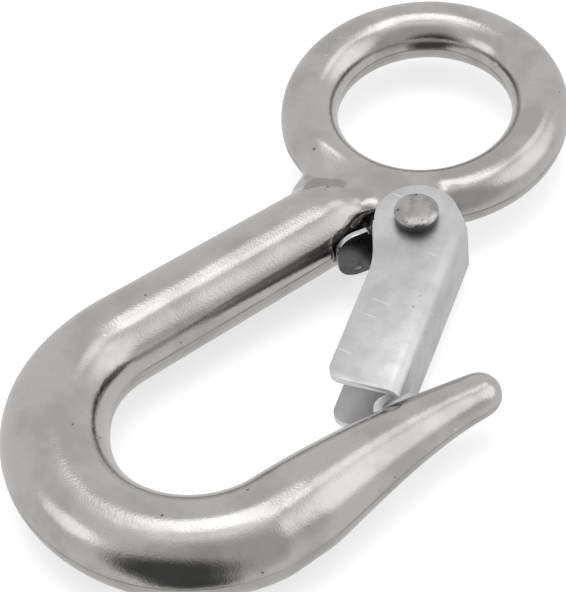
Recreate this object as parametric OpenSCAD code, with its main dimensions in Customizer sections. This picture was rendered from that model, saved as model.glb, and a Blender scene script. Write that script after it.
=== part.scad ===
// Eye hook with a sprung latch, lying flat.
// The origin is the centre of the eye, +Z is the eye's and the rivet's axis,
// +Y runs from the bowl to the eye and +X points to the open throat.

/* [Eye] */
// Diameter of the hole in the eye
eye_bore = 26.6; // [20:0.1:34]
// Diameter of the round stock of the eye
eye_stock = 8.8; // [7:0.1:11]
// Width of the trimmed land round the inside of the eye
eye_land = 2; // [1:0.1:3]

/* [Hook] */
// Distance from the eye's centre to the bowl's centre
hook_drop = 67.9; // [58:0.1:84]
// Radius of the bowl that the load rests in
seat_r = 13.1; // [11:0.1:16]
// Diameter of the shank just below the eye
neck_stock = 12.4; // [11:0.1:14]
// Diameter of the shank where it meets the bowl
shank_stock = 13.6; // [11:0.1:15]
// Diameter at the back of the bowl
heel_stock = 15.8; // [12:0.1:17]
// Diameter at the bottom of the bowl
bowl_stock = 14.6; // [12:0.1:17]
// Diameter at the end of the nose
tip_stock = 6.8; // [5:0.1:8]
// Lean of the shank away from the load line where it meets the bowl, in degrees
shank_lean = 25.5; // [20:0.1:28]
// Distance of the shank's axis from the load line just below the eye
neck_offset = 0.9; // [0:0.1:2]
// Lean of the nose away from the load line, in degrees
nose_lean = 19.6; // [14:0.1:26]
// Length of the nose from the bowl to the centre of its tip
nose_length = 32.8; // [28:0.1:40]
// How far the tip flares outward from the nose's line
nose_flare = 2.6; // [0:0.1:5]

/* [Pivot] */
// Gap between the eye's outer edge and the rivet's centre
pivot_gap = 3.9; // [3.5:0.1:6]
// Angle of the rivet from the load line, seen from the eye's centre
pivot_angle = 26; // [22:0.5:30]
// Diameter of the rivet's shank
rivet_d = 4; // [3:0.1:5]
// Diameter of the rivet's heads
rivet_head_d = 6.6; // [6:0.1:8]
// Height of each rivet head
rivet_head_h = 2; // [1.2:0.1:3]
// Radial clearance of the lug and the latch on the rivet
rivet_fit = 0.05; // [0.02:0.01:0.1]
// Radius of the lug round the rivet
lug_r = 4.9; // [4.2:0.1:5.2]

/* [Latch] */
// Thickness of the latch's sheet
sheet = 1; // [0.8:0.1:1.4]
// Inside width of the channel
channel_gap = 9; // [8:0.1:11]
// Radius of the round ends of the cheeks
cheek_r = 6.2; // [5.8:0.1:7]
// Distance from the rivet's centre to the outside of the web
web_offset = 7.5; // [6.8:0.1:8.5]
// Distance from the rivet's centre to the cheeks' open edge
cheek_edge = 3.6; // [3:0.1:4.5]
// Radius of the cheeks' lower corners
cheek_corner = 2.2; // [1:0.1:3]
// Distance along the nose from its tip to the end of the latch
nose_cover = 8.6; // [6:0.1:12]
// Gap between the latch and the nose when closed
nose_clearance = 0.4; // [0.3:0.05:0.8]

/* [Spring] */
// Thickness of the spring strip
leaf = 0.8; // [0.4:0.05:1]
// Width of the strip where it loops round the rivet
strip_width = 3.6; // [2.5:0.1:4.5]
// Width of the pad that bears on the shank
pad_width = 8.6; // [6:0.1:8.6]
// Distance along the shank from the rivet to the pad's end
pad_reach = 11.4; // [9:0.1:13]
// Radius of the pad's two corners
pad_corner = 3.2; // [2:0.1:4]
// Distance along the latch at which the spring's free leg touches the web
leg_reach = 15; // [11:0.5:18]

/* [Hidden] */
$fn = 64;

// Clearances
side_gap = 0.15;      // lug to the inside of the cheeks
recess_gap = 0.5;     // cheek ends to the step in the shank
slot_gap = 0.2;       // spring strip to each side of the lug's slot
loop_gap = 0.25;      // spring loop to the rivet
bearing_gap = 0.05;   // spring pad to the shank
leg_gap = 0.3;        // spring leg to the latch's web
head_gap = 0.02;      // rivet heads to the cheeks

// Eye
eye_r = eye_stock / 2;
eye_mid_r = eye_bore / 2 + sqrt(eye_r * eye_r - eye_land * eye_land / 4);
eye_outer_r = eye_mid_r + eye_r;

// Hook centreline: a straight shank, the bowl's arc and a flared nose
bowl_mid_r = seat_r + bowl_stock / 2;
bowl_centre = [0, -hook_drop];
function polar(r, a) = [r * cos(a), r * sin(a)];
shank_dir = [-sin(shank_lean), -cos(shank_lean)];
shank_end = bowl_centre + polar(bowl_mid_r, 180 - shank_lean);
nose_start = bowl_centre + polar(bowl_mid_r, -nose_lean);
nose_dir = [sin(nose_lean), cos(nose_lean)];
nose_out = [cos(nose_lean), -sin(nose_lean)];
neck_y = -(eye_mid_r + eye_stock / 8);
shank_length = (neck_y - shank_end[1]) / cos(shank_lean);
// The shank leaves the bowl straight and bends only as far as it must to end at the neck's offset
neck_shift = neck_offset - shank_end[0] + shank_dir[0] * shank_length;
function shank_point(t) =
    shank_end - shank_dir * shank_length * (1 - t) + [neck_shift * pow(1 - t, 2), 0];
function shank_turn(t) =
    let (g = shank_dir * shank_length - [2 * neck_shift * (1 - t), 0]) atan2(-g[0], -g[1]);
neck_lean = shank_turn(0);
neck_dir = [-sin(neck_lean), -cos(neck_lean)];
neck_inward = [cos(neck_lean), -sin(neck_lean)];
flare_end = 8.5;      // length over which the neck runs down into the eye's stock
neck_inset = 0.2;     // how far the neck's end lies below the eye's surface
heel_share = 0.35;    // share of the bowl's arc at which the heel is thickest
bowl_share = 0.65;    // share of the bowl's arc from which the stock is even
taper_start = 1.25;   // exponent that keeps the nose's taper slow at the bowl
taper_end = 1.3;      // exponent that keeps the nose's taper slow at the tip
tip_turn = 84;        // angle of the tip's dome at its small flat end

function ease(t) = (1 - cos(180 * t)) / 2;
function mix(a, b, t) = a + (b - a) * ease(t);
function nose_point(t) = nose_start + nose_dir * nose_length * t + nose_out * nose_flare * pow(t, 3);
function nose_tangent(t) = nose_dir * nose_length + nose_out * nose_flare * 3 * t * t;
// Radius along the nose, t running from the bowl to the tip
function nose_radius(t) =
    tip_stock / 2 + (bowl_stock - tip_stock) / 2 * pow(1 - pow(t, taper_start), taper_end);

// Pivot
pivot = (eye_outer_r + pivot_gap) * [sin(pivot_angle), -cos(pivot_angle)];
rivet_r = rivet_d / 2;
rim_share = 0.45;     // share of a rivet head's height below its dome
gusset_turn = 6;      // angle past the rivet at which the gusset meets the eye
lug_blend = 45;       // angle on the lug at which the gusset leaves it
channel_width = channel_gap + 2 * sheet;
lug_width = channel_gap - 2 * side_gap;
// Distance from the rivet's centre to the shank's inner surface, where the spring's pad ends
shank_offset = (pivot - shank_point(pad_reach / shank_length)) * neck_inward
    - (neck_stock + shank_stock) / 4;

// Latch: its end meets the nose at latch_seat, which sets its length and angle
seat_t = 1 - nose_cover / nose_length;
latch_seat = nose_point(seat_t);
seat_radius = nose_radius(seat_t);
seat_tangent = nose_tangent(seat_t);
seat_heading = atan2(seat_tangent[0], seat_tangent[1]);
seat_share = 0.86;    // height of the web's outside over the nose's centre, in nose radii
seat_depth = seat_share * seat_radius;
seat_v = web_offset + seat_depth;
reach = norm(latch_seat - pivot);
latch_length = sqrt(reach * reach - seat_v * seat_v);
latch_angle = atan2(latch_seat[0] - pivot[0], pivot[1] - latch_seat[1]) - asin(seat_v / reach);
fold_r = 2 * sheet;
cup_lead = 0.14;      // share of the nose below the seat at which the cup clears it
cup_r = nose_radius(seat_t - cup_lead) + nose_clearance;
cheek_run = 11.5;     // length over which the round ends narrow to the open edge
web_top = 0.7;        // height of the web's cut top over the rivet's centre
web_top_turn = 35;    // angle at which the round ends leave for the web's top

// Spring
loop_r = rivet_r + loop_gap;
slot_width = strip_width + 2 * slot_gap;
slot_r = loop_r + leaf + 2 * slot_gap;
foot_turn = 205;      // angle at which the pad leaves the loop
leg_turn = -30;       // angle from the web's direction at which the leg leaves the loop
lap = 15;             // how far the loop turns on past the start of the pad and the leg
inset = 0.13;         // share of the strip's thickness by which those starts lie in the loop

// ---- Swept hook: rings of [centre, heading, radius] from the neck to the tip
SIDES = 28;
function ring_points(c, heading, r) = [
    for (i = [0 : SIDES - 1])
        let (a = 360 * i / SIDES, side = r * cos(a))
        [c[0] + side * cos(heading), c[1] + side * sin(heading), r * sin(a)]
];
function shank_radius(t) =
    let (d = t * shank_length,
         full = neck_stock / 2 + (shank_stock - neck_stock) / 2 * t)
    d < flare_end ? mix(eye_r - neck_inset, full, d / flare_end) : full;
function bowl_radius(t) =
    t < heel_share
        ? mix(shank_stock, heel_stock, t / heel_share) / 2
        : mix(heel_stock, bowl_stock, min(1, (t - heel_share) / (bowl_share - heel_share))) / 2;

shank_rings = [
    for (t = [0, 0.03, 0.07, 0.11, 0.15, 0.2, 0.4, 0.6, 0.8])
        [shank_point(t), -shank_turn(t), shank_radius(t)]
];
bowl_sweep = 180 - shank_lean + nose_lean;
bowl_steps = 36;
bowl_rings = [
    for (i = [0 : bowl_steps])
        let (t = i / bowl_steps, a = 180 - shank_lean + bowl_sweep * t)
        [bowl_centre + polar(bowl_mid_r, a), a + 180, bowl_radius(t)]
];
nose_steps = 14;
nose_rings = [
    for (i = [1 : nose_steps])
        let (t = i / nose_steps, g = nose_tangent(t))
        [nose_point(t), 180 - atan2(g[0], g[1]), nose_radius(t)]
];
tip_steps = 5;
tip_rings = [
    for (i = [1 : tip_steps])
        let (a = tip_turn * i / tip_steps, g = nose_tangent(1) / norm(nose_tangent(1)), r = tip_stock / 2)
        [nose_point(1) + g * r * sin(a), 180 - atan2(g[0], g[1]), r * cos(a)]
];

module swept_hook() {
    rings = concat(shank_rings, bowl_rings, nose_rings, tip_rings);
    last = len(rings) - 1;
    points = [for (r = rings) each ring_points(r[0], r[1], r[2])];
    walls = [
        for (k = [0 : last - 1], i = [0 : SIDES - 1])
            let (a = k * SIDES + i, b = k * SIDES + (i + 1) % SIDES)
            each [[a, a + SIDES, b + SIDES], [a, b + SIDES, b]]
    ];
    near_cap = [for (i = [0 : SIDES - 1]) i];
    far_cap = [for (i = [SIDES - 1 : -1 : 0]) last * SIDES + i];
    polyhedron(points, concat([near_cap, far_cap], walls), convexity = 6);
}

// Puts its children at the rivet, with -Y down the shank and -X towards the shank
module at_shank() {
    translate([pivot[0], pivot[1], 0]) rotate([0, 0, -neck_lean]) children();
}

// Puts its children at the rivet, with -Y down the latch and +X towards the web
module at_latch() {
    translate([pivot[0], pivot[1], 0]) rotate([0, 0, latch_angle]) children();
}

module centred_extrude(h) {
    translate([0, 0, -h / 2]) linear_extrude(h) children();
}

// ---- Hook body
module eye_ring() {
    difference() {
        rotate_extrude() translate([eye_mid_r, 0]) circle(eye_r);
        cylinder(h = eye_land + 1, r = eye_bore / 2, center = true);
    }
}

module pivot_lug() {
    centred_extrude(lug_width) {
        translate(pivot) circle(lug_r);
        // Gusset between the rivet, the eye and the shank
        polygon([
            pivot + polar(lug_r, lug_blend),
            polar(eye_mid_r, pivot_angle + gusset_turn - 90),
            [0, -eye_mid_r],
            shank_point(flare_end / shank_length),
            pivot + neck_dir * rivet_r - neck_inward * shank_offset,
            pivot
        ]);
    }
}

// Room for the cheeks' round heads, and for their necks where those come near the shank
module cheek_recesses() {
    for (side = [-1, 1])
        translate([0, 0, side * (lug_width / 2 + eye_stock)])
            at_latch() centred_extrude(2 * eye_stock) {
                circle(cheek_r + recess_gap);
                polygon(concat(cheek_neck(recess_gap), [[0, -cheek_run], [0, 0]]));
            }
}

module spring_slot() {
    mouth = lug_r + sheet;
    back = -shank_offset + slot_gap;
    centred_extrude(slot_width) {
        circle(slot_r);
        polygon([[-slot_r, 0], [back, rivet_d - mouth], [back, -mouth],
                 [mouth, -mouth], [mouth, slot_r], [0, slot_r]]);
    }
}

module hook_body() {
    color("silver") difference() {
        union() {
            eye_ring();
            difference() {
                swept_hook();
                cylinder(h = 4 * eye_stock, r = eye_mid_r, center = true);
            }
            pivot_lug();
        }
        cheek_recesses();
        at_shank() spring_slot();
        translate([pivot[0], pivot[1], 0])
            cylinder(h = 2 * channel_width, r = rivet_r + rivet_fit, center = true);
    }
}

// ---- Latch
// The open edge of a cheek below its round head, moved out by grow
function cheek_neck(grow) = [
    for (t = [0.2 : 0.1 : 1]) [-mix(cheek_r, cheek_edge, t) - grow, -cheek_run * t]
];

// Side outline of the channel: x is towards the web and y runs up the latch
module cheek_outline() {
    low = -latch_length;
    circle(cheek_r);
    polygon(concat(
        cheek_neck(0),
        [[-cheek_edge, low + cheek_corner], [-cheek_edge + cheek_corner, low],
         [web_offset, low], [web_offset, web_top], polar(cheek_r, web_top_turn), [0, 0]]
    ));
    translate([-cheek_edge + cheek_corner, low + cheek_corner]) circle(cheek_corner);
}

// Cross-section of a bent strip's outline: a rounded slot open towards -X
module channel_section(width, web, corner) {
    far = 4 * cheek_r;
    translate([-far, -width / 2]) square([far + web - corner, width]);
    translate([-far, -width / 2 + corner]) square([far + web, width - 2 * corner]);
    for (side = [-1, 1])
        translate([web - corner, side * (width / 2 - corner)]) circle(corner);
}

module along_latch() {
    rotate([90, 0, 0]) centred_extrude(4 * latch_length) children();
}

module channel_envelope() {
    intersection() {
        centred_extrude(channel_width) cheek_outline();
        along_latch() channel_section(channel_width, web_offset, fold_r);
    }
}

module at_nose_seat() {
    translate([latch_seat[0], latch_seat[1], 0]) rotate([0, 0, -seat_heading]) rotate([90, 0, 0])
        children();
}

module latch() {
    color("gainsboro") difference() {
        union() {
            at_latch() difference() {
                channel_envelope();
                along_latch() channel_section(channel_gap, web_offset - sheet, fold_r - sheet);
            }
            // Cup pressed into the end of the web, which fits the round nose
            intersection() {
                at_latch() channel_envelope();
                at_nose_seat() cylinder(h = 3 * cup_r, r = cup_r + sheet, center = true);
            }
        }
        at_nose_seat() cylinder(h = 12 * cup_r, r = cup_r, center = true);
        translate([pivot[0], pivot[1], 0])
            cylinder(h = 2 * channel_width, r = rivet_r + rivet_fit, center = true);
    }
}

// ---- Spring
// A straight leg from point a to point b, lying to the left of the way from a to b
module leg(a, b) {
    way = (b - a) / norm(b - a);
    side = [-way[1], way[0]] * leaf;
    polygon([a, b, b + side, a + side]);
}

// Flat end of the spring, from the foot of the loop at point a to its wide round tip at point b
module pad(a, b) {
    length = norm(b - a);
    low = -length + pad_corner;
    half = pad_width / 2;
    neck = strip_width - slot_gap;
    translate([a[0], a[1], 0]) rotate([0, 0, atan2(b[0] - a[0], a[1] - b[1])]) rotate([0, 90, 0])
        linear_extrude(leaf) {
            translate([-neck / 2, low]) square([neck, -low]);
            translate([-half, low]) square([pad_width, -lug_r - recess_gap - low]);
            translate([-half + pad_corner, -length]) square([pad_width - 2 * pad_corner, pad_corner]);
            for (side = [-1, 1])
                translate([side * (half - pad_corner), low]) circle(pad_corner);
        }
}

module latch_spring() {
    far = 2 * lug_r;
    foot = polar(loop_r + (1 - inset) * leaf, foot_turn);
    pad_tip = [-shank_offset + bearing_gap, -pad_reach];
    swing = latch_angle + neck_lean;
    web_inner = web_offset - sheet - leg_gap - leaf;
    leg_tip = web_inner * polar(1, swing) + leg_reach * polar(1, swing - 90);
    color("gray") at_shank() {
        centred_extrude(strip_width) {
            difference() {
                circle(loop_r + leaf);
                circle(loop_r);
                // The loop is open between its two legs
                polygon([[0, 0], polar(far, foot_turn + lap), [-far, -far], [far, -far],
                         polar(far, swing + leg_turn - lap)]);
            }
            leg(polar(loop_r + inset * leaf, swing + leg_turn), leg_tip);
        }
        pad(foot, pad_tip);
    }
}

// ---- Rivet
module pivot_rivet() {
    head_r = rivet_head_d / 2;
    rim = rim_share * rivet_head_h;
    dome = rivet_head_h - rim;
    dome_r = (head_r * head_r + dome * dome) / (2 * dome);
    face = channel_width / 2 + head_gap;
    color("darkgray") translate([pivot[0], pivot[1], 0]) {
        cylinder(h = 2 * face + rim, r = rivet_r, center = true);
        for (side = [0, 1]) mirror([0, 0, side]) translate([0, 0, face]) {
            cylinder(h = rim, r = head_r);
            intersection() {
                translate([0, 0, rivet_head_h - dome_r]) sphere(dome_r);
                translate([0, 0, rim]) cylinder(h = rivet_head_h, r = head_r);
            }
        }
    }
}

hook_body();
latch();
latch_spring();
pivot_rivet();
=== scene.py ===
"""Cast eye hook with a sprung latch: its pieces, finishes, camera and studio."""

import logging
import math
from dataclasses import dataclass, field
from enum import Enum

import bmesh
import bpy
import numpy as np
from mathutils import Matrix, Vector


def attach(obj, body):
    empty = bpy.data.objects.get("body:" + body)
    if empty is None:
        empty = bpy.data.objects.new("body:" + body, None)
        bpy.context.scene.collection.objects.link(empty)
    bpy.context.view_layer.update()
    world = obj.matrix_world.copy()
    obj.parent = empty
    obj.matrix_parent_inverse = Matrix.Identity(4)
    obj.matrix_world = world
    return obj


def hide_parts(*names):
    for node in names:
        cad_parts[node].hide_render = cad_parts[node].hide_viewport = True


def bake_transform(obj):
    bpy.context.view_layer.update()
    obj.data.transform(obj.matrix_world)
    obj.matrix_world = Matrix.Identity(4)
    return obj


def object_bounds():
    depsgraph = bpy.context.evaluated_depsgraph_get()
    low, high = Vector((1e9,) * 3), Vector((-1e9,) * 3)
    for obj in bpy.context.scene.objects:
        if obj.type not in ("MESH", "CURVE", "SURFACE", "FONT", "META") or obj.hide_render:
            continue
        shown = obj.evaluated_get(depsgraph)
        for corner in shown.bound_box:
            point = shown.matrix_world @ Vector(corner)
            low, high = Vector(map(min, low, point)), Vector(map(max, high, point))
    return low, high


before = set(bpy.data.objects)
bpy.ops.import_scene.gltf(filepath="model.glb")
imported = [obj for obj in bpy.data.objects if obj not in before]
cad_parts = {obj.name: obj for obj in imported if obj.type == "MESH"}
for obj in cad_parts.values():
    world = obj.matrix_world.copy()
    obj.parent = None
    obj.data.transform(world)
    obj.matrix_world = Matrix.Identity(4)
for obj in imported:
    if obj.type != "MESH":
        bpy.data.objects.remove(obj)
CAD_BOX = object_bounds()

MM = 0.001
PIVOT = (11.3472, -23.2652)  # the rivet's centre in millimetres
FLAT_TURN = 1.0  # faces that meet within this many degrees become one
SHEET_CREASE = 35.0  # edges sharper than this, in degrees, are rounded on sheet and strip
SHEET_SMOOTH = 40.0  # and edges sharper than this stay crisp in the shading
SIDE_TILT = 0.4  # a face whose normal rises less than this stands upright
FLAT_TILT = 0.9  # a face whose normal rises more than this lies flat
LOG = logging.getLogger("eye_hook")

Triple = tuple[float, float, float]
Colour = Triple


class Body(Enum):
    """The moving bodies of the frame."""

    HOOK = "hook"
    LATCH = "latch"


class Slot(Enum):
    """The record's material slots."""

    CAST_BODY = "cast_body"
    LATCH_SHEET = "latch_sheet"
    SPRING_STRIP = "spring_strip"
    RIVET_STEEL = "rivet_steel"


# ---------------------------------------------------------------- node bench


class NodeBench:
    """Adds and joins the nodes of one tree.

    Args:
        tree: the node tree of a material, a world or a shader group.
    """

    def __init__(self, tree: bpy.types.NodeTree) -> None:
        """Keeps the tree and the place of the next node."""
        self.tree = tree
        self.column = 0

    def add(
        self, kind: str, values: dict[str | int, object] | None = None, **props: object
    ) -> bpy.types.Node:
        """Adds a node.

        Args:
            kind: the node's type name.
            values: what goes on its input sockets: a constant, or an output socket to join.
            props: the node's own settings.

        Returns:
            The new node.
        """
        node = self.tree.nodes.new(kind)
        node.location = (self.column * 180, -(self.column % 5) * 160)
        self.column += 1
        for name, value in props.items():
            setattr(node, name, value)
        for name, value in (values or {}).items():
            self.feed(node.inputs[name], value)
        return node

    def feed(self, socket: bpy.types.NodeSocket, value: object) -> None:
        """Joins an output socket to an input, or sets the input's constant.

        Args:
            socket: the input socket.
            value: an output socket, a number or a tuple.
        """
        if isinstance(value, bpy.types.NodeSocket):
            self.tree.links.new(value, socket)
        elif isinstance(value, tuple) and len(value) == 3 and socket.type == "RGBA":
            socket.default_value = (*value, 1.0)
        else:
            socket.default_value = value

    def noise(
        self, vector: bpy.types.NodeSocket, scale: object, detail: float = 2.0, rough: float = 0.5
    ) -> bpy.types.NodeSocket:
        """Adds a noise texture.

        Args:
            vector: the place that it is read at.
            scale: its scale per metre.
            detail: how many finer layers it has.
            rough: how strong the finer layers are.

        Returns:
            The noise's value.
        """
        values = {"Vector": vector, "Scale": scale, "Detail": detail, "Roughness": rough}
        return self.add("ShaderNodeTexNoise", values).outputs["Fac"]

    def ramp(
        self, value: object, low: float, high: float, to_low: float = 0.0, to_high: float = 1.0
    ) -> bpy.types.NodeSocket:
        """Runs a value smoothly from one range to another.

        Args:
            value: the value.
            low: where the first range starts.
            high: where the first range ends.
            to_low: where the second range starts.
            to_high: where the second range ends.

        Returns:
            The value in the second range.
        """
        return self.add(
            "ShaderNodeMapRange",
            {"Value": value, "From Min": low, "From Max": high, "To Min": to_low, "To Max": to_high},
            interpolation_type="SMOOTHSTEP",
        ).outputs["Result"]

    def math(self, operation: str, *terms: object) -> bpy.types.NodeSocket:
        """Returns the result of a Math node on the terms."""
        return self.add("ShaderNodeMath", dict(enumerate(terms)), operation=operation).outputs[0]

    def mix(self, share: object, a: object, b: object) -> bpy.types.NodeSocket:
        """Turns one colour towards another.

        Args:
            share: how far, from 0 to 1.
            a: the colour at 0.
            b: the colour at 1.

        Returns:
            The mixed colour.
        """
        node = self.add("ShaderNodeMix", data_type="RGBA")
        for name, value in (("Factor_Float", share), ("A_Color", a), ("B_Color", b)):
            self.feed(next(s for s in node.inputs if s.identifier == name), value)
        return next(s for s in node.outputs if s.identifier == "Result_Color")

    def group(self, tree: bpy.types.NodeTree, values: dict[str | int, object]) -> bpy.types.Node:
        """Adds a node that holds a shader group.

        Args:
            tree: the shader group.
            values: what goes on its inputs.

        Returns:
            The new node.
        """
        node = self.add("ShaderNodeGroup", node_tree=tree)
        for name, value in values.items():
            self.feed(node.inputs[name], value)
        return node


def new_group(
    name: str, inputs: dict[str, tuple[str, object]], outputs: dict[str, str]
) -> tuple[NodeBench, bpy.types.Node, bpy.types.Node]:
    """Starts a shader group.

    Args:
        name: the group's name.
        inputs: for each input, its socket type and default value.
        outputs: for each output, its socket type.

    Returns:
        The bench, the group's input node and its output node.
    """
    tree = bpy.data.node_groups.new(name, "ShaderNodeTree")
    for socket_name, (kind, default) in inputs.items():
        socket = tree.interface.new_socket(socket_name, in_out="INPUT", socket_type=kind)
        if default is not None:
            socket.default_value = default
    for socket_name, kind in outputs.items():
        tree.interface.new_socket(socket_name, in_out="OUTPUT", socket_type=kind)
    bench = NodeBench(tree)
    return bench, bench.add("NodeGroupInput"), bench.add("NodeGroupOutput")


class Effects:
    """The shader groups that more than one finish uses."""

    def __init__(self) -> None:
        """Builds the groups once."""
        self.skin = self.build_skin()
        self.pits = self.build_pits()
        self.scratches = self.build_scratches()

    @staticmethod
    def build_skin() -> bpy.types.NodeTree:
        """Builds the metal's skin: fine grain over broad waviness.

        Returns:
            A group with Fine, Broad and Height.
        """
        bench, given, result = new_group(
            "metal_skin",
            {
                "Vector": ("NodeSocketVector", None),
                "Fine Scale": ("NodeSocketFloat", 2500.0),
                "Broad Scale": ("NodeSocketFloat", 180.0),
                "Broad Share": ("NodeSocketFloat", 0.5),
            },
            {"Fine": "NodeSocketFloat", "Broad": "NodeSocketFloat", "Height": "NodeSocketFloat"},
        )
        vector = given.outputs["Vector"]
        fine = bench.noise(vector, given.outputs["Fine Scale"], 3.0, 0.6)
        broad = bench.noise(vector, given.outputs["Broad Scale"], 2.0, 0.45)
        part = bench.math("MULTIPLY", broad, given.outputs["Broad Share"])
        bench.feed(result.inputs["Fine"], fine)
        bench.feed(result.inputs["Broad"], broad)
        bench.feed(result.inputs["Height"], bench.math("ADD", fine, part))
        return bench.tree

    @staticmethod
    def build_pits() -> bpy.types.NodeTree:
        """Builds sparse small pits.

        Returns:
            A group with a Mask that is 1 in a pit.
        """
        bench, given, result = new_group(
            "small_pits",
            {
                "Vector": ("NodeSocketVector", None),
                "Scale": ("NodeSocketFloat", 700.0),
                "Size": ("NodeSocketFloat", 0.16),
                "Share": ("NodeSocketFloat", 0.12),
            },
            {"Mask": "NodeSocketFloat"},
        )
        cell = bench.add(
            "ShaderNodeTexVoronoi",
            {"Vector": given.outputs["Vector"], "Scale": given.outputs["Scale"], "Randomness": 1.0},
            feature="F1",
        )
        near = bench.math("LESS_THAN", cell.outputs["Distance"], given.outputs["Size"])
        pick = bench.add("ShaderNodeSeparateColor", {"Color": cell.outputs["Color"]}).outputs["Red"]
        chosen = bench.math("LESS_THAN", pick, given.outputs["Share"])
        bench.feed(result.inputs["Mask"], bench.math("MULTIPLY", near, chosen))
        return bench.tree

    @staticmethod
    def build_scratches() -> bpy.types.NodeTree:
        """Builds short fine scratches that run along one direction.

        Returns:
            A group with a Mask that is 1 in a scratch.
        """
        bench, given, result = new_group(
            "short_scratches",
            {
                "Vector": ("NodeSocketVector", None),
                "Stretch": ("NodeSocketVector", (1.0, 1.0, 1.0)),
                "Scale": ("NodeSocketFloat", 900.0),
                "Level": ("NodeSocketFloat", 0.68),
            },
            {"Mask": "NodeSocketFloat"},
        )
        drawn = bench.add(
            "ShaderNodeVectorMath",
            {0: given.outputs["Vector"], 1: given.outputs["Stretch"]},
            operation="MULTIPLY",
        ).outputs[0]
        lines = bench.noise(drawn, given.outputs["Scale"], 1.5, 0.5)
        over = bench.math("SUBTRACT", lines, given.outputs["Level"])
        bench.feed(result.inputs["Mask"], bench.ramp(over, 0.0, 0.035))
        return bench.tree


# ---------------------------------------------------------------- finishes


PATCH_SCALE = 0.55  # scale of the darker patches, as a share of the broad waviness
PATCH_RANGE = (0.4, 0.66)  # the noise values between which a patch fades in
SPECKLE_RANGE = (0.54, 0.70)  # the grain values between which a speckle fades in
SPECKLE_SHARE = 0.5  # how far a speckle goes to the darker colour
SPECKLE_ROUGH = 0.15  # what a speckle adds to the roughness
PIT_DEPTH = 1.2  # depth of a pit, in heights of the grain
SCRATCH_DEPTH = 0.3  # depth of a scratch, in heights of the grain
SEAM_HEIGHT = 2.2  # height of the parting line, in heights of the grain
SEAM_STAIN = 0.55  # how dark the parting line is
SEAM_SCALE = 90.0  # scale per metre at which the parting line fades in and out
SEAM_FADE = (0.36, 0.6, 0.25, 1.0)  # the noise values of that fade, and the line's strength at each
CUT_POLISH = 0.14  # how much smoother a cut edge is
# painted shade: the rivet's shank and the side walls under its heads are coloured near-black
HEAD_SHADE_SHARE = 0.94  # how much of the metal the painted shade under the rivet heads hides
HEAD_SHADE_COLOUR = (0.03, 0.028, 0.027)


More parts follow.
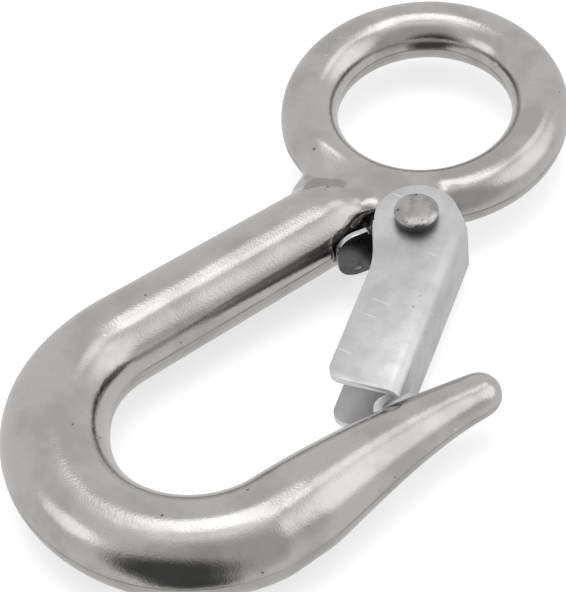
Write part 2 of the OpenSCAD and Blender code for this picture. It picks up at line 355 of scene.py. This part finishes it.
@dataclass(frozen=True)
class Finish:
    """A metal finish.

    Attributes:
        name: the material's name.
        base: the metal's usual colour.
        shade: its colour in darker patches.
        rough: roughness, smoothest and roughest.
        grain: scale per metre of the fine grain and the broad waviness.
        bump: depth of the grain in millimetres.
        broad_share: how much of the bump is broad waviness.
        pits: scale per metre, size and share of the pits.
        pit_colour: the colour in a pit.
        scratches: scale per metre and level of the scratches; a high level leaves few.
        scratch_stretch: how the scratches are drawn out along x, y and z.
        scratch_colour: the colour in a scratch.
        seam: half the width in millimetres of the parting line on the middle plane, or 0.
        cut_highlight: the colour of the painted highlight on the sheet's cut edges, where the piece marks
            them.
        channel_shade: how dark the painted shade is on the faces turned into the latch's channel, where the
            piece marks them, or 0.
        under_head_shade: the heights in millimetres over the middle plane between which the painted shade
            under the rivet heads fades, or None.
    """

    name: str
    base: Colour
    shade: Colour
    rough: tuple[float, float]
    grain: tuple[float, float]
    bump: float
    broad_share: float
    pits: tuple[float, float, float]
    pit_colour: Colour
    scratches: tuple[float, float]
    scratch_stretch: Triple
    scratch_colour: Colour
    seam: float = 0.0
    cut_highlight: Colour | None = None
    channel_shade: float = 0.0
    under_head_shade: tuple[float, float] | None = None

    def make(self, effects: Effects) -> bpy.types.Material:
        """Builds the material.

        Args:
            effects: the shared shader groups.

        Returns:
            The material.
        """
        material = bpy.data.materials.new(self.name)
        material.use_nodes = True
        tree = material.node_tree
        tree.nodes.clear()
        bench = NodeBench(tree)
        place = bench.add("ShaderNodeTexCoord").outputs["Object"]
        skin = bench.group(
            effects.skin,
            {
                "Vector": place,
                "Fine Scale": self.grain[0],
                "Broad Scale": self.grain[1],
                "Broad Share": self.broad_share,
            },
        )
        pits = bench.group(
            effects.pits,
            {"Vector": place, "Scale": self.pits[0], "Size": self.pits[1], "Share": self.pits[2]},
        ).outputs["Mask"]
        scratches = bench.group(
            effects.scratches,
            {
                "Vector": place,
                "Stretch": self.scratch_stretch,
                "Scale": self.scratches[0],
                "Level": self.scratches[1],
            },
        ).outputs["Mask"]
        patches = bench.ramp(bench.noise(place, self.grain[1] * PATCH_SCALE, 3.0, 0.6), *PATCH_RANGE)
        colour = bench.mix(patches, self.base, self.shade)
        speckle = bench.ramp(skin.outputs["Fine"], *SPECKLE_RANGE, 0.0, SPECKLE_SHARE)
        colour = bench.mix(speckle, colour, self.shade)
        colour = bench.mix(scratches, colour, self.scratch_colour)
        colour = bench.mix(pits, colour, self.pit_colour)
        height = bench.math("SUBTRACT", skin.outputs["Height"], bench.math("MULTIPLY", pits, PIT_DEPTH))
        height = bench.math("SUBTRACT", height, bench.math("MULTIPLY", scratches, SCRATCH_DEPTH))
        if self.seam:
            z = bench.add("ShaderNodeSeparateXYZ", {"Vector": place}).outputs["Z"]
            line = bench.ramp(bench.math("ABSOLUTE", z), self.seam * 0.5 * MM, self.seam * MM, 1.0, 0.0)
            faint = bench.ramp(bench.noise(place, SEAM_SCALE, 1.0), *SEAM_FADE)
            line = bench.math("MULTIPLY", line, faint)
            height = bench.math("ADD", height, bench.math("MULTIPLY", line, SEAM_HEIGHT))
            colour = bench.mix(bench.math("MULTIPLY", line, SEAM_STAIN), colour, self.pit_colour)
        rough = bench.ramp(skin.outputs["Broad"], 0.3, 0.7, self.rough[0], self.rough[1])
        rough = bench.math("ADD", rough, bench.math("MULTIPLY", speckle, SPECKLE_ROUGH))
        # painted highlight on the cut edges, which are also made smoother
        if self.cut_highlight is not None:
            cut = bench.add("ShaderNodeAttribute", attribute_name="cut_edge").outputs["Fac"]
            colour = bench.mix(cut, colour, self.cut_highlight)
            rough = bench.math("SUBTRACT", rough, bench.math("MULTIPLY", cut, CUT_POLISH))
        # painted shade on the faces turned into the latch's channel
        if self.channel_shade:
            channel_shade_mask = bench.add("ShaderNodeAttribute", attribute_name="inner_shade").outputs["Fac"]
            colour = bench.mix(bench.math("MULTIPLY", channel_shade_mask, self.channel_shade), colour, self.pit_colour)
        # painted shade under each rivet head: near-black close to the middle plane, fading out above
        if self.under_head_shade is not None:
            z = bench.add("ShaderNodeSeparateXYZ", {"Vector": place}).outputs["Z"]
            low, high = (t * MM for t in self.under_head_shade)
            dark = bench.ramp(bench.math("ABSOLUTE", z), low, high, HEAD_SHADE_SHARE, 0.0)
            colour = bench.mix(dark, colour, HEAD_SHADE_COLOUR)
        relief = {"Height": height, "Strength": 1.0, "Distance": self.bump * MM}
        normal = bench.add("ShaderNodeBump", relief).outputs["Normal"]
        shader = bench.add(
            "ShaderNodeBsdfPrincipled",
            {"Base Color": colour, "Roughness": rough, "Metallic": 1.0, "Normal": normal},
        )
        bench.add("ShaderNodeOutputMaterial", {"Surface": shader.outputs["BSDF"]})
        return material


CAST_STEEL = Finish(
    name="polished_cast_steel",
    base=(0.60, 0.588, 0.575),
    shade=(0.50, 0.485, 0.47),
    rough=(0.07, 0.13),
    grain=(3000.0, 190.0),
    bump=0.022,
    broad_share=1.6,
    pits=(620.0, 0.14, 0.05),
    pit_colour=(0.22, 0.21, 0.20),
    scratches=(700.0, 0.76),
    scratch_stretch=(0.3, 1.0, 1.0),
    scratch_colour=(0.70, 0.69, 0.68),
    seam=0.22,
)
LATCH_SHEET = Finish(
    name="tumbled_latch_sheet",
    base=(0.72, 0.72, 0.725),
    shade=(0.62, 0.615, 0.62),
    rough=(0.34, 0.46),
    grain=(2100.0, 330.0),
    bump=0.010,
    broad_share=1.2,
    pits=(900.0, 0.16, 0.06),
    pit_colour=(0.45, 0.44, 0.44),
    scratches=(560.0, 0.69),
    scratch_stretch=(0.2, 1.6, 0.3),
    scratch_colour=(0.86, 0.86, 0.87),
    # painted highlight on the latch's cut edges
    cut_highlight=(0.90, 0.89, 0.92),
    # painted shade inside the latch's channel
    channel_shade=0.75,
)
# painted shade: base and shade colours make the upright spring strip near-black
SPRING_STRIP = Finish(
    name="spring_strip_painted_shade",
    base=(0.17, 0.165, 0.165),
    shade=(0.09, 0.088, 0.088),
    rough=(0.2, 0.32),
    grain=(2400.0, 300.0),
    bump=0.006,
    broad_share=0.8,
    pits=(900.0, 0.14, 0.05),
    pit_colour=(0.12, 0.12, 0.12),
    scratches=(900.0, 0.7),
    scratch_stretch=(1.0, 0.25, 1.0),
    scratch_colour=(0.34, 0.33, 0.33),
    # painted highlight on the strip's cut edges
    cut_highlight=(0.72, 0.71, 0.72),
)
RIVET_STEEL = Finish(
    name="scuffed_rivet_steel",
    base=(0.54, 0.53, 0.52),
    shade=(0.34, 0.33, 0.32),
    rough=(0.16, 0.28),
    grain=(2300.0, 520.0),
    bump=0.012,
    broad_share=1.6,
    pits=(900.0, 0.26, 0.16),
    pit_colour=(0.10, 0.10, 0.10),
    scratches=(800.0, 0.66),
    scratch_stretch=(1.0, 0.4, 1.0),
    scratch_colour=(0.16, 0.16, 0.16),
    # painted shade on the side walls under the rivet heads
    under_head_shade=(6.52, 6.66),
)


# ---------------------------------------------------------------- pieces


@dataclass
class Piece:
    """A visible piece that stands for one CAD node.

    Attributes:
        node: the CAD node that it replaces.
        slot: the record's material slot; not used.
        finish: its finish.
    """

    node: str
    slot: Slot
    finish: Finish

    def cad_copy(self) -> bmesh.types.BMesh:
        """Copies the CAD node's mesh.

        Returns:
            The copy, with its doubled points merged.
        """
        bm = bmesh.new()
        bm.from_mesh(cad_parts[self.node].data)
        bmesh.ops.remove_doubles(bm, verts=bm.verts, dist=0.001 * MM)
        return bm

    def place(self, bm: bmesh.types.BMesh, name: str, effects: Effects) -> bpy.types.Object:
        """Turns a finished bmesh into the piece's object.

        Args:
            bm: the bmesh, which is freed.
            name: the object's name.
            effects: the shared shader groups.

        Returns:
            The object, with its finish, standing for the CAD node.
        """
        mesh = bpy.data.meshes.new(name)
        bm.to_mesh(mesh)
        bm.free()
        obj = bpy.data.objects.new(name, mesh)
        bpy.context.scene.collection.objects.link(obj)
        obj.data.materials.append(self.finish.make(effects))
        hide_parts(self.node)
        LOG.info("%s: %d faces for %s", name, len(mesh.polygons), self.node)
        return obj


def shade_by_angle(bm: bmesh.types.BMesh, degrees: float) -> None:
    """Shades a bmesh smooth, with edges sharper than the angle kept crisp.

    Args:
        bm: the bmesh.
        degrees: the angle between faces from which an edge stays crisp.
    """
    for face in bm.faces:
        face.smooth = True
    for edge in bm.edges:
        edge.smooth = edge.calc_face_angle(math.pi) < math.radians(degrees)


def relax(bm: bmesh.types.BMesh, verts: object) -> None:
    """Moves points halfway to the middle of their neighbours.

    Args:
        bm: the bmesh.
        verts: the points that move.
    """
    bmesh.ops.smooth_vert(bm, verts=verts, factor=0.5, use_axis_x=True, use_axis_y=True, use_axis_z=True)


def flatten(bm: bmesh.types.BMesh) -> None:
    """Joins a sheet's faces that lie in one plane."""
    angle = math.radians(FLAT_TURN)
    bmesh.ops.dissolve_limit(bm, angle_limit=angle, verts=bm.verts, edges=bm.edges)


def round_edges(bm: bmesh.types.BMesh, width: float) -> None:
    """Rounds a sheet's sharp edges and shades it.

    Args:
        bm: the bmesh.
        width: the width of the rounding in millimetres.
    """
    bmesh.ops.bevel(
        bm,
        geom=[e for e in bm.edges if e.calc_face_angle(0.0) > math.radians(SHEET_CREASE)],
        offset=width * MM,
        offset_type="OFFSET",
        segments=2,
        profile=0.5,
        affect="EDGES",
        material=-1,
        clamp_overlap=True,
    )
    bmesh.ops.triangulate(bm, faces=[f for f in bm.faces if len(f.verts) > 4])
    shade_by_angle(bm, SHEET_SMOOTH)


@dataclass(frozen=True)
class Melt:
    """A place where the casting's joint is rounded off.

    Attributes:
        centre: the middle of the place, in millimetres.
        radius: how far it reaches, in millimetres.
        passes: how often it is smoothed.
        shrink: how much smaller the place is at the last pass, as a share of its radius.
    """

    centre: Triple
    radius: float
    passes: int
    shrink: float = 0.6

    def apply(self, bm: bmesh.types.BMesh) -> None:
        """Smooths the ball's points again and again while it shrinks, which feathers its edge.

        Args:
            bm: the casting's skin.
        """
        middle = Vector(self.centre) * MM
        near = [(v, (v.co - middle).length) for v in bm.verts if (v.co - middle).length < self.radius * MM]
        for step in range(self.passes):
            reach = self.radius * MM * (1 - self.shrink * step / self.passes)
            relax(bm, [v for v, distance in near if distance < reach])


@dataclass(frozen=True)
class Fillet:
    """A hollow of the casting that is filled like a cast fillet.

    Attributes:
        centre: the middle of the place, in millimetres.
        radius: how far it reaches, in millimetres.
        passes: how far the fill spreads.
        clear: the radius round the rivet, in millimetres, that stays clear.
        feather: the share of its radius over which the fill fades out.
    """

    centre: Triple
    radius: float
    passes: int
    clear: float = 6.9
    feather: float = 0.35

    def apply(self, bm: bmesh.types.BMesh) -> None:
        """Draws a film over the hollow: each point may rise from the skin, and never sinks into it.

        Args:
            bm: the casting's skin.
        """
        middle = Vector(self.centre) * MM
        x, y, keep = (c * MM for c in (*PIVOT, self.clear))
        bm.verts.ensure_lookup_table()
        near = [
            v
            for v in bm.verts
            if (v.co - middle).length < self.radius * MM and math.hypot(v.co.x - x, v.co.y - y) > keep
        ]
        row = {v.index: i for i, v in enumerate(near)}
        ring = [e.other_vert(v).index for v in near for e in v.link_edges]
        counts = np.array([len(v.link_edges) for v in near])
        starts = np.concatenate(([0], np.cumsum(counts)[:-1]))
        inner = np.array([row.get(i, -1) for i in ring])
        fixed = np.array([bm.verts[i].co[:] for i in ring])
        rest = np.array([v.co[:] for v in near])
        normal = np.array([v.normal[:] for v in near])
        depth = np.linalg.norm(rest - np.array(middle), axis=1) / (self.radius * MM)
        fade = np.clip((1.0 - depth) / self.feather, 0.0, 1.0)
        lift = np.zeros(len(near))
        for _ in range(self.passes):
            film = rest + normal * lift[:, None]
            around = np.where(inner[:, None] >= 0, film[inner], fixed)
            mean = np.add.reduceat(around, starts, axis=0) / counts[:, None]
            lift = np.maximum(0.0, ((mean - rest) * normal).sum(axis=1))
        for v, height, share in zip(near, lift, fade):
            v.co += v.normal * float(height * share)


@dataclass(frozen=True)
class Hollow:
    """The shallow valley between the eye and the top of the shank.

    Attributes:
        radius: its distance from the eye's centre, in millimetres.
        width: its half width, in millimetres.
        turn: the angle of its middle from the -Y direction, in degrees.
        spread: half the angle that it covers, in degrees.
        depth: how deep it is pressed, in millimetres.
        full: the height over the middle plane from which it is fully pressed, in millimetres.
    """

    radius: float = 20.2
    width: float = 2.8
    turn: float = -14.0
    spread: float = 20.0
    depth: float = 0.9
    full: float = 4.0

    def apply(self, bm: bmesh.types.BMesh) -> None:
        """Presses the valley into the upper and the lower side.

        Args:
            bm: the casting's skin.
        """
        for v in bm.verts:
            reach = math.hypot(v.co.x, v.co.y) / MM
            off = (reach - self.radius) / self.width
            angle = (math.degrees(math.atan2(v.co.x, -v.co.y)) - self.turn) / self.spread
            if abs(off) < 2.5 and abs(angle) < 1.0:
                share = math.exp(-off * off) * (1 - angle * angle) ** 2
                share *= min(1.0, abs(v.co.z) / (self.full * MM))
                v.co.z -= math.copysign(self.depth * MM * share, v.co.z)


@dataclass(frozen=True)
class SoftRim:
    """The rounded upper rim of the recess that the latch turns in.

    Attributes:
        inner: the radius outside which points may move, in millimetres.
        outer: the radius out to which they move, in millimetres.
        low: the height over the middle plane from which they move, in millimetres.
        passes: how often the rim is smoothed.
        shrink: how much smaller the outer radius is at the last pass, in millimetres.
    """

    inner: float = 6.55
    outer: float = 9.6
    low: float = 2.6
    passes: int = 42
    shrink: float = 1.6

    def apply(self, bm: bmesh.types.BMesh) -> None:
        """Rounds the rim over.

        Args:
            bm: the casting's skin.
        """
        x, y = PIVOT
        near = [
            (v, math.hypot(v.co.x / MM - x, v.co.y / MM - y))
            for v in bm.verts
            if abs(v.co.z) > self.low * MM
        ]
        for step in range(self.passes):
            outer = self.outer - self.shrink * step / self.passes
            relax(bm, [v for v, reach in near if self.inner < reach < outer])


@dataclass
class HookBody(Piece):
    """The casting: eye, lug, shank, bowl and nose in one skin.

    Attributes:
        cell: the skin's cell in millimetres.
        passes: how often the whole skin is smoothed.
        fillets: the hollows that are filled.
        melts: the joints that are rounded off.
        hollow: the valley between the eye and the shank.
        rim: the rim of the latch's recess.
        knuckle: the centre and the radii in millimetres of the thick corner between the eye and the shank.
    """

    node: str = "hook_body"
    slot: Slot = Slot.CAST_BODY
    finish: Finish = CAST_STEEL
    cell: float = 0.38
    passes: int = 14
    fillets: list[Fillet] = field(
        default_factory=lambda: [
            Fillet((-7.5, -21.0, 0.0), 11.0, 600),
            Fillet((16.5, -15.5, 0.0), 6.5, 80),
        ]
    )
    melts: list[Melt] = field(
        default_factory=lambda: [
            Melt((-3.0, -22.0, 4.5), 7.5, 26),
            Melt((-3.0, -22.0, -4.5), 7.5, 26),
            Melt((-10.6, -20.6, 0.0), 7.0, 120),
        ]
    )
    hollow: Hollow = Hollow()
    rim: SoftRim = SoftRim()
    knuckle: tuple[Triple, Triple] = ((-7.5, -22.2, 0.0), (3.3, 3.3, 3.7))

    def reskin(self, bm: bmesh.types.BMesh) -> bmesh.types.BMesh:
        """Gives the casting one even skin.

        Args:
            bm: the merged CAD copy, which is freed.

        Returns:
            The even skin.
        """
        centre, radii = self.knuckle
        lump = bmesh.ops.create_icosphere(bm, subdivisions=4, radius=MM)["verts"]
        bmesh.ops.scale(bm, verts=lump, vec=radii)
        bmesh.ops.translate(bm, verts=lump, vec=Vector(centre) * MM)
        rough = bpy.data.meshes.new("hook_blank")
        bm.to_mesh(rough)
        bm.free()
        blank = bpy.data.objects.new("hook_blank", rough)
        bpy.context.scene.collection.objects.link(blank)
        skin = blank.modifiers.new("skin", "REMESH")
        skin.mode = "VOXEL"
        skin.voxel_size = self.cell * MM
        even = blank.evaluated_get(bpy.context.evaluated_depsgraph_get()).to_mesh()
        result = bmesh.new()
        result.from_mesh(even)
        bpy.data.objects.remove(blank, do_unlink=True)
        bpy.data.meshes.remove(rough)
        return result

    def build(self, effects: Effects) -> bpy.types.Object:
        """Builds the casting.

        Args:
            effects: the shared shader groups.

        Returns:
            The casting's object.
        """
        bm = self.reskin(self.cad_copy())
        for _ in range(self.passes):
            relax(bm, bm.verts)
        bm.normal_update()
        for place in (*self.fillets, self.hollow, *self.melts, self.rim):
            place.apply(bm)
        for face in bm.faces:
            face.smooth = True
        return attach(self.place(bm, "hook_casting", effects), Body.HOOK.value)


@dataclass
class Latch(Piece):
    """The folded sheet latch with rounded cut edges.

    Attributes:
        edge: the width of the rounding on its edges, in millimetres.
        lean: the angle in degrees of the latch from the -Y direction.
        web: the distance from the rivet's centre to the web's outside, in millimetres.
        fold: the radius of the fold, in millimetres.
    """

    node: str = "latch"
    slot: Slot = Slot.LATCH_SHEET
    finish: Finish = LATCH_SHEET
    edge: float = 0.14
    lean: float = 10.9
    web: float = 7.5
    fold: float = 2.0

    def mark_faces(self, bm: bmesh.types.BMesh) -> None:
        """Marks the faces through the sheet as cut_edge, for a painted highlight, and the faces turned into
        the channel as inner_shade, for painted shade.

        Args:
            bm: the latch's mesh before its edges are rounded.
        """
        cut = bm.faces.layers.float.new("cut_edge")
        inner = bm.faces.layers.float.new("inner_shade")
        out = Vector((math.cos(math.radians(self.lean)), math.sin(math.radians(self.lean)), 0.0))
        along = Vector((-out.y, out.x, 0.0))
        middle = Vector((*PIVOT, 0.0)) * MM
        for face in bm.faces:
            depth = (face.calc_center_median() - middle).dot(out) / MM
            sideways = abs(face.normal.z) < SIDE_TILT
            on_web = depth > self.web - self.fold
            across = abs(face.normal.dot(along)) > 0.6
            face[cut] = 1.0 if sideways and (across or not on_web) else 0.0
            # the cheeks' faces towards the middle plane and the web's back are marked for painted shade
            under = abs(face.normal.z) > FLAT_TILT and face.normal.z * face.calc_center_median().z < 0
            behind = face.normal.dot(out) < -0.5 and on_web
            face[inner] = 1.0 if under or behind else 0.0

    def build(self, effects: Effects) -> bpy.types.Object:
        """Builds the latch.

        Args:
            effects: the shared shader groups.

        Returns:
            The latch's object.
        """
        bm = self.cad_copy()
        flatten(bm)
        self.mark_faces(bm)
        round_edges(bm, self.edge)
        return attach(self.place(bm, "latch_gate", effects), Body.LATCH.value)


@dataclass
class LatchSpring(Piece):
    """The spring strip.

    Attributes:
        edge: the width of the rounding on its edges, in millimetres.
        turn: half the width of the loop that bends, in millimetres; not used.
        small: the area in square millimetres below which a face is a cut edge.
    """

    node: str = "latch_spring"
    slot: Slot = Slot.SPRING_STRIP
    finish: Finish = SPRING_STRIP
    edge: float = 0.12
    turn: float = 2.3
    small: float = 4.0

    def build(self, effects: Effects) -> bpy.types.Object:
        """Builds the spring.

        Args:
            effects: the shared shader groups.

        Returns:
            The spring's object.
        """
        bm = self.cad_copy()
        flatten(bm)
        cut = bm.faces.layers.float.new("cut_edge")
        # the strip's upward and downward edges and its small end faces are marked for a painted highlight
        for face in bm.faces:
            is_cut = abs(face.normal.z) > SIDE_TILT or face.calc_area() < self.small * MM * MM
            face[cut] = 1.0 if is_cut else 0.0
        round_edges(bm, self.edge)
        obj = self.place(bm, "latch_spring_strip", effects)
        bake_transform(obj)
        return obj


@dataclass
class PivotRivet(Piece):
    """The rivet: a shank between two domed heads.

    Attributes:
        face: the height of the heads' undersides over the middle plane, in millimetres.
        profile: the upper head's outline from its underside to its crown, as radius and height over the
            underside in millimetres.
        steps: the faces round the rivet.
        crease: edges sharper than this, in degrees, stay crisp in the shading.
    """

    node: str = "pivot_rivet"
    slot: Slot = Slot.RIVET_STEEL
    finish: Finish = RIVET_STEEL
    face: float = 5.52
    profile: tuple[tuple[float, float], ...] = (
        (2.0, 0.0),
        (3.12, 0.0),
        (3.16, 0.3),
        (3.17, 1.02),
        (3.22, 1.1),
        (3.28, 1.2),
        (3.29, 1.3),
        (3.22, 1.45),
        (3.04, 1.58),
        (2.74, 1.69),
        (2.34, 1.78),
        (1.84, 1.86),
        (1.26, 1.91),
        (0.63, 1.945),
        (0.0, 1.95),
    )
    steps: int = 72
    crease: float = 50.0

    def build(self, effects: Effects) -> bpy.types.Object:
        """Builds the rivet.

        Args:
            effects: the shared shader groups.

        Returns:
            The rivet's object.
        """
        bm = bmesh.new()
        upper = [(r, self.face + h) for r, h in self.profile]
        outline = [(r, -z) for r, z in reversed(upper)] + upper
        points = [bm.verts.new((r * MM, 0.0, z * MM)) for r, z in outline]
        edges = [bm.edges.new(pair) for pair in zip(points, points[1:])]
        bmesh.ops.spin(
            bm,
            geom=points + edges,
            cent=(0.0, 0.0, 0.0),
            axis=(0.0, 0.0, 1.0),
            angle=math.tau,
            steps=self.steps,
            use_merge=True,
        )
        bmesh.ops.remove_doubles(bm, verts=bm.verts, dist=0.001 * MM)
        bmesh.ops.recalc_face_normals(bm, faces=bm.faces)
        bmesh.ops.translate(bm, verts=bm.verts, vec=(PIVOT[0] * MM, PIVOT[1] * MM, 0.0))
        shade_by_angle(bm, self.crease)
        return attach(self.place(bm, "latch_rivet", effects), Body.HOOK.value)


# ---------------------------------------------------------------- studio


@dataclass(frozen=True)
class Viewpoint:
    """Where the camera stands.

    Attributes:
        azimuth: degrees round from -Y towards +X.
        elevation: degrees over the floor.
        roll: degrees that the view is turned.
        distance: distance in millimetres from the plane through the origin.
        aim: how far the view's middle lies to its right and up from the origin, in millimetres.
        lens: focal length in millimetres on a 36 mm wide sensor.
    """

    azimuth: float = 34.7
    elevation: float = 50.0
    roll: float = -6.5
    distance: float = 502.4
    aim: tuple[float, float] = (-21.58, -27.98)
    lens: float = 209.89

    def axes(self) -> tuple[Vector, Vector, Vector]:
        """Works out which way the camera is turned.

        Returns:
            Its right, up and backward directions.
        """
        a, e, r = (math.radians(x) for x in (self.azimuth, self.elevation, self.roll))
        back = Vector((math.sin(a) * math.cos(e), -math.cos(a) * math.cos(e), math.sin(e)))
        level = Vector((math.cos(a), math.sin(a), 0.0))
        rise = back.cross(level)
        right = level * math.cos(r) + rise * math.sin(r)
        up = rise * math.cos(r) - level * math.sin(r)
        return right, up, back

    def build(self) -> bpy.types.Object:
        """Sets up the camera and makes it the scene's.

        Returns:
            The camera's object.
        """
        right, up, back = self.axes()
        data = bpy.data.cameras.new("view")
        data.sensor_fit = "HORIZONTAL"
        data.sensor_width = 36.0
        data.lens = self.lens
        data.clip_start = 0.01
        camera = bpy.data.objects.new("view", data)
        bpy.context.scene.collection.objects.link(camera)
        turn = Matrix((right, up, back)).transposed().to_4x4()
        place = (right * self.aim[0] + up * self.aim[1] + back * self.distance) * MM
        camera.matrix_world = Matrix.Translation(place) @ turn
        bpy.context.scene.camera = camera
        return camera


@dataclass(frozen=True)
class SoftBox:
    """A large soft lamp.

    Attributes:
        name: the lamp's name.
        place: its centre in metres.
        size: its width and height in metres.
        power: its power in watts.
    """

    name: str
    place: Triple
    size: tuple[float, float]
    power: float

    def build(self) -> None:
        """Hangs the lamp so that it faces the origin."""
        data = bpy.data.lights.new(self.name, "AREA")
        data.shape = "RECTANGLE"
        data.size, data.size_y = self.size
        data.energy = self.power
        lamp = bpy.data.objects.new(self.name, data)
        lamp.location = self.place
        lamp.rotation_euler = Vector(self.place).to_track_quat("Z", "Y").to_euler()
        lamp.visible_glossy = False
        bpy.context.scene.collection.objects.link(lamp)


@dataclass(frozen=True)
class Glow:
    """A soft round patch of the room, brighter or dimmer than the rest.

    Attributes:
        azimuth: degrees round from -Y towards +X.
        elevation: degrees over the horizon.
        core: the angle in degrees from its middle within which it is even.
        edge: the angle in degrees at which it has faded out.
        light: its brightness.
    """

    azimuth: float
    elevation: float
    core: float
    edge: float
    light: float

    def way(self) -> Vector:
        """Returns the direction of its middle."""
        a, e = math.radians(self.azimuth), math.radians(self.elevation)
        return Vector((math.sin(a) * math.cos(e), -math.cos(a) * math.cos(e), math.sin(e)))


@dataclass(frozen=True)
class Studio:
    """The floor, the soft surroundings and the lamps.

    Attributes:
        room: the brightness of the surroundings.
        glows: the bright and dim patches of the room, each laid over those before it.
        floor_size: half the floor's width in metres.
        floor_colour: the floor's brightness under the lamps.
        floor_light: what the floor adds by itself, so that it stays pale.
        lamps: the soft lamps.
    """

    room: float = 0.72
    glows: tuple[Glow, ...] = (
        Glow(0.0, 90.0, 14.0, 34.0, 1.0),
        Glow(40.0, 15.0, 30.0, 62.0, 0.47),
        Glow(115.0, 30.0, 14.0, 34.0, 1.28),
        Glow(155.0, 52.0, 5.0, 14.0, 1.3),
        Glow(-40.0, 20.0, 7.0, 18.0, 1.4),
        Glow(14.0, -4.0, 17.0, 42.0, 0.07),
        Glow(22.0, -34.0, 10.0, 26.0, 0.07),
        Glow(215.0, 77.0, 12.0, 16.0, 1.8),
        Glow(135.0, 74.0, 6.0, 12.0, 1.75),
        Glow(290.0, 74.0, 3.0, 9.0, 1.4),
        Glow(0.0, -90.0, 35.0, 48.0, 0.62),
    )
    floor_size: float = 3.0
    floor_colour: float = 0.55
    floor_light: float = 0.62
    lamps: tuple[SoftBox, ...] = (
        SoftBox("top_box", (-0.3, 0.4, 1.7), (1.2, 1.2), 12.0),
    )

    def build_world(self) -> None:
        """Paints the room: soft light all round, with its bright and dim patches."""
        world = bpy.data.worlds.new("soft_room")
        world.use_nodes = True
        world.node_tree.nodes.clear()
        bench = NodeBench(world.node_tree)
        way = bench.add("ShaderNodeTexCoord").outputs["Generated"]
        colour: object = (self.room, self.room, self.room)
        for glow in self.glows:
            dot = bench.add("ShaderNodeVectorMath", {0: way, 1: glow.way()}, operation="DOT_PRODUCT")
            edge, core = (math.cos(math.radians(angle)) for angle in (glow.edge, glow.core))
            share = bench.ramp(dot.outputs["Value"], edge, core)
            colour = bench.mix(share, colour, (glow.light, glow.light, glow.light))
        ground = bench.add("ShaderNodeBackground", {"Color": colour, "Strength": 1.0})
        bench.add("ShaderNodeOutputWorld", {"Surface": ground.outputs["Background"]})
        bpy.context.scene.world = world

    def build_floor(self, height: float) -> bpy.types.Object:
        """Lays the floor.

        Args:
            height: the floor's height in metres.

        Returns:
            The floor's object.
        """
        bm = bmesh.new()
        bmesh.ops.create_grid(bm, x_segments=8, y_segments=8, size=self.floor_size)
        bmesh.ops.translate(bm, verts=bm.verts, vec=(0.0, 0.0, height))
        mesh = bpy.data.meshes.new("floor")
        bm.to_mesh(mesh)
        bm.free()
        floor = bpy.data.objects.new("floor", mesh)
        bpy.context.scene.collection.objects.link(floor)
        material = bpy.data.materials.new("pale_floor")
        material.use_nodes = True
        shader = material.node_tree.nodes["Principled BSDF"]
        shader.inputs["Base Color"].default_value = (*(self.floor_colour,) * 3, 1.0)
        shader.inputs["Roughness"].default_value = 0.9
        shader.inputs["Specular IOR Level"].default_value = 0.0
        shader.inputs["Emission Color"].default_value = (1.0, 1.0, 1.0, 1.0)
        shader.inputs["Emission Strength"].default_value = self.floor_light
        mesh.materials.append(material)
        floor.visible_glossy = False
        return floor

    def build(self, height: float) -> None:
        """Builds the room, the floor and the lamps.

        Args:
            height: the floor's height in metres.
        """
        self.build_world()
        self.build_floor(height)
        for lamp in self.lamps:
            lamp.build()
        view = bpy.context.scene.view_settings
        view.view_transform = "Standard"
        view.look = "None"
        view.exposure = 0.0


def main() -> None:
    """Builds the pieces, the studio and the camera in order."""
    logging.basicConfig(level=logging.INFO, format="%(name)s %(message)s")
    effects = Effects()
    for piece in (HookBody(), Latch(), LatchSpring(), PivotRivet()):
        obj = piece.build(effects)
        LOG.info("%s is built", obj.name)
    Studio().build(CAD_BOX[0][2])
    Viewpoint().build()


if __name__ == "__main__":
    main()
